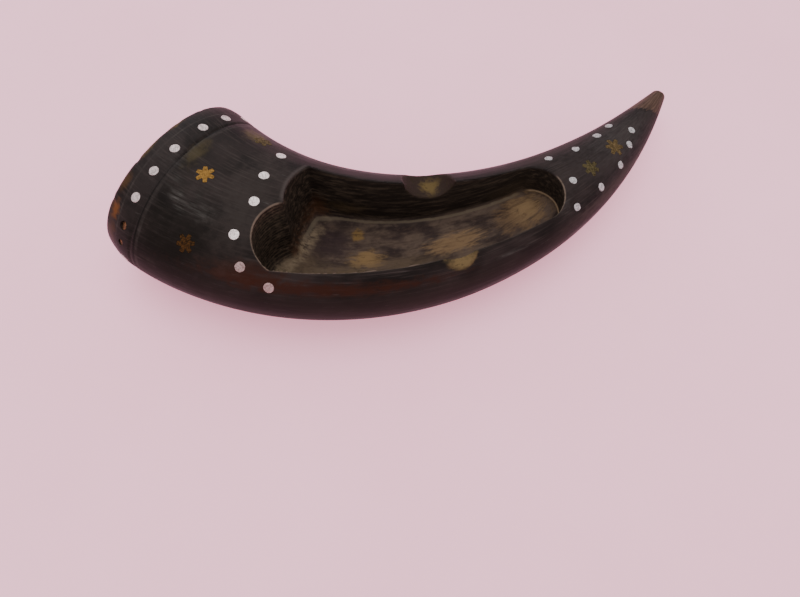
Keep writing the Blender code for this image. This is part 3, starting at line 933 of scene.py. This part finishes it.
def painted(shade, color, axes, patches, scale, wobble):
    """The colour with patches over it, each given in millimetres along the two axes."""
    for x, y, half_x, half_y, softness, tint, strength in patches:
        middle = (x * MM, y * scale)
        half = (half_x * MM, half_y * scale)
        mask = patch(shade, axes, middle, half, softness, wobble)
        color = shade.mix(shade.times(mask, strength), color, tint)
    return color


def skin_color(shade, skin, s, girth, fibres, clouds, wobble):
    """Near-black horn with streaks along it, worn patches, painted shade over the far flank, painted
    reflection low on the near flank and a pale brown tip.
    """
    color = shade.mix(shade.step(clouds, 0.35, 0.7), (0.010, 0.0072, 0.0065), (0.028, 0.0195, 0.018))
    hairs = shade.noise(skin, (35.0, 1500.0, 200.0), 3.0, 0.7)
    color = shade.mix(shade.step(fibres, 0.50, 0.75, 0.0, 0.55), color, (0.056, 0.041, 0.037))
    color = shade.mix(shade.step(hairs, 0.55, 0.75, 0.0, 0.40), color, (0.086, 0.064, 0.058))
    color = shade.mix(shade.step(hairs, 0.25, 0.42, 0.60, 0.0), color, (0.006, 0.0045, 0.004))
    color = painted(shade, color, (s, girth), SKIN_PATCHES, math.radians(1) * GIRTH_RADIUS, wobble)
    turn = shade.minus(shade.math("DIVIDE", girth, GIRTH_RADIUS), 1.6)
    slant = shade.times(shade.math("SINE", turn), -0.16 * GIRTH_RADIUS)
    along_tip = shade.plus(shade.plus(s, slant), shade.times(wobble, 0.005))
    grain = shade.noise(skin, (90.0, 500.0, 200.0), 4.0, 0.6)
    tip_color = shade.mix(shade.step(grain, 0.35, 0.7), (0.045, 0.024, 0.017), (0.135, 0.078, 0.055))
    color = shade.mix(shade.step(along_tip, 0.2560, 0.2580, 0.0, 0.9), color, tip_color)
    dark_line = line(shade, along_tip, 0.2555, 0.0009)
    return shade.mix(shade.times(dark_line, 0.7), color, (0.012, 0.009, 0.008))


def tray_color(shade, carving, s, offset, over_floor, grain, wobble):
    """Dark streaky walls down to a mauve-brown floor with ochre patches."""
    clouds = shade.noise(carving, (60.0, 120.0, 120.0), 3.0, 0.6, 0.5)
    lit = shade.times(shade.step(grain, 0.42, 0.75), shade.step(s, 0.062, 0.105, 0.95, 0.6))
    wall = shade.mix(lit, (0.022, 0.015, 0.012), (0.110, 0.073, 0.052))
    wall = painted(shade, wall, (s, over_floor), WALL_PATCHES, MM, wobble)
    scoops = shade.math("SINE", shade.times(over_floor, 3600.0))
    near_lobe = shade.times(shade.step(s, 0.064, 0.070, 1.0, 0.0), shade.step(offset, -0.004, 0.0, 1.0, 0.0))
    scooped = shade.times(near_lobe, shade.step(scoops, 0.1, 0.9, 0.0, 0.5))
    wall = shade.mix(scooped, wall, (0.095, 0.068, 0.046))
    floor = shade.mix(shade.step(clouds, 0.38, 0.62), (0.034, 0.022, 0.020), (0.092, 0.062, 0.047))
    blots = shade.noise(carving, (260.0, 380.0, 300.0), 4.0, 0.65, 0.6)
    floor = shade.mix(shade.step(blots, 0.50, 0.72, 0.0, 0.5), floor, (0.112, 0.073, 0.053))
    floor = shade.mix(shade.step(grain, 0.5, 0.75, 0.0, 0.45), floor, (0.12, 0.085, 0.060))
    floor = painted(shade, floor, (s, offset), TRAY_PATCHES, MM, wobble)
    floor = shade.mix(shade.step(blots, 0.28, 0.46, 0.45, 0.0), floor, (0.030, 0.020, 0.017))
    across = shade.minus(s, shade.times(offset, 0.46))
    streaks = patch(shade, (across, offset), (0.0675, -0.001), (0.0036, 0.015), 0.7, wobble)
    streaks = shade.times(streaks, shade.step(grain, 0.35, 0.6, 0.35, 1.0))
    floor = shade.mix(streaks, floor, (0.215, 0.155, 0.100))
    floor = shade.mix(shade.step(grain, 0.28, 0.5, 0.55, 0.0), floor, (0.026, 0.017, 0.014))
    on_floor = shade.step(over_floor, 0.0010, 0.0040, 1.0, 0.0)
    color = shade.mix(on_floor, wall, floor)
    far_side = shade.times(shade.step(offset, 0.005, 0.009), shade.step(s, 0.178, 0.172))
    foot_line = shade.times(line(shade, over_floor, 0.0013, 0.0008), far_side, 0.6)
    color = shade.mix(foot_line, color, (0.17, 0.13, 0.09))
    at_end = shade.times(shade.step(s, 0.172, 0.177), shade.step(offset, 0.0085, 0.0065))
    ledge = shade.times(line(shade, over_floor, 0.0024, 0.0006), at_end, 0.8)
    return shade.mix(ledge, color, (0.30, 0.20, 0.12))


def rest_color(shade, s, offset, wobble):
    """Brown far rest with an ochre middle, and an ochre near rest."""
    color = shade.mix(shade.step(offset, -0.001, 0.001), (0.026, 0.020, 0.012), (0.030, 0.018, 0.014))
    far = patch(shade, (s, offset), (0.1315, 0.0205), (0.0042, 0.0035), 0.6, wobble)
    near = patch(shade, (s, offset), (0.1335, -0.0226), (0.0054, 0.0026), 0.7, wobble)
    color = shade.mix(shade.times(far, 0.85), color, (0.13, 0.085, 0.030))
    color = shade.mix(shade.times(near, 0.9), color, (0.165, 0.105, 0.046))
    return shade.mix(shade.step(wobble, -0.15, -0.45, 0.0, 0.6), color, (0.030, 0.020, 0.010))


def scuffed(shade, color, skin, axes, wobble):
    """The colour with fine pale scratches, thick in the scuffed places."""
    scratches = shade.noise(skin, (110.0, 1300.0, 300.0), 4.0, 0.6)
    color = shade.mix(shade.step(scratches, 0.66, 0.74, 0.0, 0.25), color, SCUFF_COLOR)
    marks = shade.step(scratches, 0.35, 0.75)
    for s, angle, half_s, half_angle, strength in SCUFFS:
        middle = (s * MM, math.radians(angle) * GIRTH_RADIUS)
        half = (half_s * MM, math.radians(half_angle) * GIRTH_RADIUS)
        mask = patch(shade, axes, middle, half, 0.8, wobble)
        color = shade.mix(shade.times(mask, marks, strength), color, SCUFF_COLOR)
    return color


def band_lines(shade, color, band, girth, wobble):
    """The turned lines round the mouth: painted shade in the groove, a painted highlight beside it, and a
    pale line near the edge.
    """
    off_top = shade.math("ABSOLUTE", shade.minus(girth, 1.65 * GIRTH_RADIUS))
    worn = shade.step(off_top, 0.004, 0.014)
    fade = shade.plus(shade.times(worn, 0.5), 0.25)
    # painted shade: the groove darkened, fainter near the top
    groove = shade.times(line(shade, band, GROOVE_S, 0.00055), fade)
    color = shade.mix(groove, color, (0.005, 0.004, 0.0035))
    uneven = shade.step(wobble, -0.4, 0.4, 0.05, 0.3)
    # painted highlight: a pale line along one edge of the groove
    groove_highlight = shade.times(line(shade, band, GROOVE_S + 1.5 * MM, 0.0011), fade, uneven)
    color = shade.mix(groove_highlight, color, (0.090, 0.074, 0.066))
    ridge = shade.times(line(shade, band, BAND_RIDGE_S, 0.0006), uneven)
    return shade.mix(ridge, color, (0.080, 0.064, 0.057))


def horn_material():
    shade = Shade("horn_looks", roughness=0.4, specular=HORN_SPECULAR)
    skin = shade.attribute("skin")
    carving = shade.attribute("carving")
    s, girth, _ = shade.split(skin)
    _, offset, over_floor = shade.split(carving)
    marks = ("in_tray", "in_rest", "rim_gap", "end_face", "band")
    in_tray, in_rest, rim_gap, end_face, band = (shade.attribute(name, "Fac") for name in marks)

    fibres = shade.noise(skin, (60.0, 900.0, 200.0), 4.0, 0.6)
    clouds = shade.noise(skin, (45.0, 60.0, 60.0), 3.0, 0.5, 0.4)
    specks = shade.noise(skin, (500.0, 500.0, 500.0), 3.0, 0.6)
    grain = shade.noise(carving, (70.0, 520.0, 700.0), 5.0, 0.65, 0.2)
    blotches = shade.noise(skin, (240.0, 300.0, 300.0), 4.0, 0.6)
    wobble = shade.step(blotches, 0.2, 0.8, -0.55, 0.55)

    color = skin_color(shade, skin, s, girth, fibres, clouds, wobble)
    color = scuffed(shade, color, skin, (s, girth), wobble)
    color = band_lines(shade, color, band, girth, wobble)
    carved = tray_color(shade, carving, s, offset, over_floor, grain, wobble)
    color = shade.mix(in_tray, color, carved)
    color = shade.mix(shade.times(in_rest, 0.9), color, rest_color(shade, s, offset, wobble))

    breaks = shade.noise(skin, (70.0, 70.0, 70.0), 3.0, 0.6)
    near_side = shade.step(offset, -0.001, -0.003)
    rim_line = shade.times(shade.step(rim_gap, 0.0002, 0.0009, 1.0, 0.0), near_side)
    bright = shade.math("MAXIMUM", shade.step(s, 0.112, 0.124, 1.0, 0.25), shade.step(s, 0.172, 0.178))
    rim_line = shade.times(rim_line, bright, shade.step(breaks, 0.3, 0.6, 0.45, 0.8))
    color = shade.mix(rim_line, color, (0.215, 0.150, 0.112))
    worn_lobe = shade.times(shade.step(s, 0.070, 0.066), shade.step(offset, -0.002, 0.001), 0.5)
    worn_edge = shade.times(shade.step(rim_gap, 0.0004, 0.0022, 1.0, 0.0), worn_lobe)
    color = shade.mix(worn_edge, color, (0.085, 0.066, 0.060))
    end_color = shade.mix(shade.step(specks, 0.4, 0.7), (0.025, 0.019, 0.016), (0.09, 0.06, 0.04))
    color = shade.mix(end_face, color, end_color)

    rough = shade.step(clouds, 0.3, 0.7, 0.38, 0.5)
    rough = shade.plus(rough, shade.times(shade.step(fibres, 0.4, 0.7), 0.1))
    rough = shade.math("ADD", rough, shade.math("MULTIPLY", in_tray, 0.16), clamp=True)
    relief = shade.plus(shade.times(fibres, 0.6), shade.times(specks, 0.4))
    normal = shade.bump(relief, 0.00012, 0.7)
    normal = shade.bump(shade.times(grain, in_tray), 0.00030, 0.7, normal)
    return shade.finish(color, rough, normal)


def metal_material(name, dark, bright, roughness, metallic, specular, seed):
    """Filed metal: a crosshatch of fine scratches, with dirt between them."""
    shade = Shade(name + "_looks", roughness, metallic, specular)
    place = shade.node("ShaderNodeTexCoord").outputs["Object"]
    shift = (seed * 1.7, seed * 0.9, 0.0)
    one = shade.noise(place, (3200.0, 500.0, 1500.0), 3.0, 0.6, shift=shift)
    other = shade.noise(place, (600.0, 3000.0, 900.0), 3.0, 0.6, shift=shift)
    hatch = shade.times(one, other)
    blotch = shade.noise(place, (420.0, 420.0, 420.0), 3.0, 0.6, shift=shift)
    color = shade.mix(shade.step(hatch, 0.14, 0.34), dark, bright)
    color = shade.mix(shade.step(blotch, 0.55, 0.75, 0.0, 0.5), color, dark)
    rough = shade.step(hatch, 0.1, 0.4, roughness + 0.18, roughness - 0.06)
    return shade.finish(color, rough, shade.bump(hatch, 0.00008, 0.8))


def wood_material():
    shade = Shade("plug_wood_looks", roughness=0.7, specular=0.3)
    place = shade.node("ShaderNodeTexCoord").outputs["Object"]
    wobble = shade.noise(place, (60.0, 60.0, 60.0), 3.0, 0.5)
    heart = {0: place, 1: (-0.12, 0.06, -0.01)}
    away = shade.node("ShaderNodeVectorMath", heart, operation="DISTANCE").outputs["Value"]
    turns = shade.plus(shade.times(away, 3600.0), shade.times(wobble, 6.0))
    rings = shade.math("SINE", turns)
    pores = shade.noise(place, (900.0, 900.0, 900.0), 3.0, 0.6)
    color = shade.mix(shade.step(rings, -0.6, 0.9), (0.085, 0.042, 0.022), (0.20, 0.115, 0.06))
    color = shade.mix(shade.step(pores, 0.55, 0.72, 0.0, 0.6), color, (0.04, 0.02, 0.012))
    return shade.finish(color, shade.step(pores, 0.3, 0.7, 0.62, 0.8), shade.bump(pores, 0.0002, 0.6))


# ---------------------------------------------------------------- stage

def add_area(name, at, to, size, power, color=(1, 1, 1)):
    data = bpy.data.lights.new(name, "AREA")
    data.shape = "DISK"
    data.size = size
    data.energy = power
    data.color = color
    lamp = bpy.data.objects.new(name, data)
    bpy.context.scene.collection.objects.link(lamp)
    lamp.location = at
    lamp.rotation_euler = (Vector(to) - Vector(at)).to_track_quat("-Z", "Y").to_euler()


def make_stage():
    corner = STAGE_HALF
    mesh = bpy.data.meshes.new("floor")
    corners = [(-corner, -corner, 0), (corner, -corner, 0), (corner, corner, 0), (-corner, corner, 0)]
    mesh.from_pydata(corners, [], [(0, 1, 2, 3)])
    floor = object_of("floor", mesh)
    shade = Shade("floor_looks", roughness=0.9, specular=0.1)
    place = shade.node("ShaderNodeTexCoord").outputs["Object"]
    soft = shade.noise(place, (9.0, 9.0, 9.0), 6.0, 0.6)
    shade.feed(shade.shader.inputs["Emission Color"], FLOOR_GLOW)
    shade.feed(shade.shader.inputs["Emission Strength"], 1.0)
    floor.data.materials.append(shade.finish(shade.mix(soft, *FLOOR_COLORS)))
    world = bpy.data.worlds.new("studio")
    bpy.context.scene.world = world
    world.use_nodes = True
    background = world.node_tree.nodes["Background"]
    background.inputs["Color"].default_value = (0.97, 0.98, 1.0, 1)
    background.inputs["Strength"].default_value = SKY
    add_area("window", (-0.25, 0.9, 0.5), (0, 0, 0), 0.9, 2.5, (0.95, 0.97, 1.0))
    add_area("overhead", (0.0, -0.05, 1.2), (0, 0, 0), 1.2, 8.0)


def make_camera():
    data = bpy.data.cameras.new("camera")
    data.lens = CAMERA_LENS
    camera = bpy.data.objects.new("camera", data)
    bpy.context.scene.collection.objects.link(camera)
    camera.location = CAMERA_AT + Vector((*FRAME_AT, 0))
    camera.rotation_euler = (CAMERA_TO - CAMERA_AT).to_track_quat("-Z", "Y").to_euler()
    bpy.context.scene.camera = camera


# ---------------------------------------------------------------- the whole

def settle(piece, node, material):
    """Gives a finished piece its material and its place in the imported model."""
    piece.data.materials.clear()
    piece.data.materials.append(material)
    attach(piece, "root")
    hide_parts(node)


def frame_offset():
    """Where the horn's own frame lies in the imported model, read off one pin."""
    low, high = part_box("tip_pin_01")
    s, angle = TIP_PINS[0]
    matrix = horn_frame_at(s * MM, math.radians(angle))
    middle = matrix @ Vector((0, 0, (PROUD - INLAY_DEPTH) / 2))
    return np.array(((low + high) / 2 - middle).xy)


def metal_key(name, slot):
    """Which of the metals a pin or star is made of."""
    if name in PINK_PINS:
        return "pink_pin"
    kind = name.rsplit("_", 1)[0]
    return next(key for key in (name, kind, slot) if key in METALS)


def build():
    outline = tray_outline()
    horn = horn_solid(outline)
    surface = BVHTree.FromObject(horn, bpy.context.evaluated_depsgraph_get())
    plug = wooden_plug()
    metals = {key: metal_material(key, *looks, seed) for seed, (key, looks) in enumerate(METALS.items())}
    sockets, plug_sockets = [], []
    for seed, (name, matrix, reach, depth, slot) in enumerate(inlays()):
        if name in WORN_PINS:
            slot = "worn_metal"
            _, sunk, tilt = WORN_PINS[name]
            piece = inlay(name, matrix, reach, depth, surface, proud=-sunk, tilt=tilt, seed=seed)
        else:
            piece = inlay(name, matrix, reach, depth, surface, seed=seed)
        settle(piece, name, metals[metal_key(name, slot)])
        sockets.append(socket(name, matrix, reach + SOCKET_GAP, depth + PLUG_GAP))
        if name.startswith("rim_pin"):
            plug_sockets.append(socket(name + "_plug", matrix, reach + SOCKET_GAP, depth + PLUG_GAP))
    cut(horn, sockets)
    cut(plug, plug_sockets)
    refine_rim(horn, outline)
    mark_horn(horn.data, outline)
    smooth_shaded(horn, 45)
    smooth_shaded(plug, 35)
    settle(horn, "horn_body", horn_material())
    settle(plug, "end_plug", wood_material())


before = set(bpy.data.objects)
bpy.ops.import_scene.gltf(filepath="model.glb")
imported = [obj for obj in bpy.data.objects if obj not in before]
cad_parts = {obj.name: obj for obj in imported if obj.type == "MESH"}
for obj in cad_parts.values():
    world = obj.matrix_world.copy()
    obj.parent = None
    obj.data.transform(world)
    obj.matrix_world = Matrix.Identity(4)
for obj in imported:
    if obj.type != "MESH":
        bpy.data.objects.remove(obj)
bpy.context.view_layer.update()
FRAME_AT = np.zeros(2)
FRAME_AT = frame_offset()
make_camera()
make_stage()
build()
